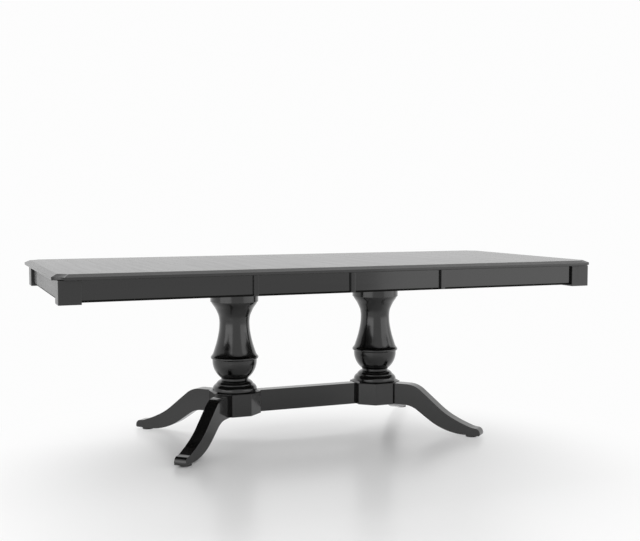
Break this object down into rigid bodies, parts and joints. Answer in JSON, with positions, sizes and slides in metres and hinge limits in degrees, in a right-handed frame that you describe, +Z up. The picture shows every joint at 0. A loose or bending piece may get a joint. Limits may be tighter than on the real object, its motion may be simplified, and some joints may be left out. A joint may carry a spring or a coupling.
{
  "type": "extending dining table",
  "caption": "Extending dining table with drop-in leaves, geared wooden slides, turned pedestals, curved legs and a stretcher.",
  "frame": {"origin": "centre of the bounding box at the floor", "axes": "+X along the table to the right end, +Y from the front to the back, +Z up"},
  "size_m": [2.284, 1.01, 0.762],
  "materials": {
    "black_wood": "satin black lacquer",
    "plain_wood": "dark stain, waxed",
    "steel": "zinc plated",
    "nylon": "matte"
  },
  "bodies": {
    "base": {"stretcher": "black_wood", "floor_glides": "nylon", "joint_bolts": "steel", "tie_rods": "steel", "tie_rod_nuts": "steel", "front_centre_rail": "plain_wood", "back_centre_rail": "plain_wood", "gear_bridge": "plain_wood", "rail_screws": "steel", "pinion_stud": "steel", "left_column": "black_wood", "left_base_moulding": "black_wood", "left_base_block": "black_wood", "left_cross_beam": "plain_wood", "front_left_leg": "black_wood", "back_left_leg": "black_wood", "right_column": "black_wood", "right_base_moulding": "black_wood", "right_base_block": "black_wood", "right_cross_beam": "plain_wood", "front_right_leg": "black_wood", "back_right_leg": "black_wood"},
    "pinion": {"equaliser_pinion": "nylon"},
    "left_end": {"left_top": "black_wood", "left_front_apron": "black_wood", "left_back_apron": "black_wood", "left_end_apron": "black_wood", "left_apron_cleats": "plain_wood", "left_rack": "plain_wood", "left_slide_screws": "steel", "front_left_post": "black_wood", "front_left_runner": "plain_wood", "back_left_post": "black_wood", "back_left_runner": "plain_wood"},
    "right_end": {"right_top": "black_wood", "right_front_apron": "black_wood", "right_back_apron": "black_wood", "right_end_apron": "black_wood", "right_apron_cleats": "plain_wood", "right_rack": "plain_wood", "right_slide_screws": "steel", "front_right_post": "black_wood", "front_right_runner": "plain_wood", "back_right_post": "black_wood", "back_right_runner": "plain_wood", "right_front_batten": "black_wood", "right_back_batten": "black_wood", "right_pins": "plain_wood"},
    "leaf_1": {"leaf_1_top": "black_wood", "leaf_1_front_apron": "black_wood", "leaf_1_back_apron": "black_wood", "leaf_1_front_batten": "black_wood", "leaf_1_back_batten": "black_wood", "leaf_1_pins": "plain_wood"},
    "leaf_2": {"leaf_2_top": "black_wood", "leaf_2_front_apron": "black_wood", "leaf_2_back_apron": "black_wood", "leaf_2_front_batten": "black_wood", "leaf_2_back_batten": "black_wood", "leaf_2_pins": "plain_wood"}
  },
  "joints": [
    {"name": "left_end_slide", "type": "slide", "parent": "base", "child": "left_end", "axis": [-1, 0, 0], "range_m": [0, 0.045]},
    {"name": "right_end_slide", "type": "slide", "parent": "base", "child": "right_end", "axis": [1, 0, 0], "range_m": [0, 0.045]},
    {"name": "leaf_1_slide", "type": "slide", "parent": "base", "child": "leaf_1", "axis": [-1, 0, 0], "range_m": [0, 0.015]},
    {"name": "leaf_2_slide", "type": "slide", "parent": "base", "child": "leaf_2", "axis": [1, 0, 0], "range_m": [0, 0.015]},
    {"name": "pinion_spin", "type": "hinge", "parent": "base", "child": "pinion", "pos_m": [0, 0, 0.6975], "axis": [0, 0, 1], "range_deg": [0, 86]}
  ],
  "couplings": [
    {"joint": "right_end_slide", "follows": "left_end_slide", "ratio": 1},
    {"joint": "leaf_1_slide", "follows": "left_end_slide", "ratio": 0.33333},
    {"joint": "leaf_2_slide", "follows": "left_end_slide", "ratio": 0.33333},
    {"joint": "pinion_spin", "follows": "left_end_slide", "rad_per_m": 33.333}
  ]
}
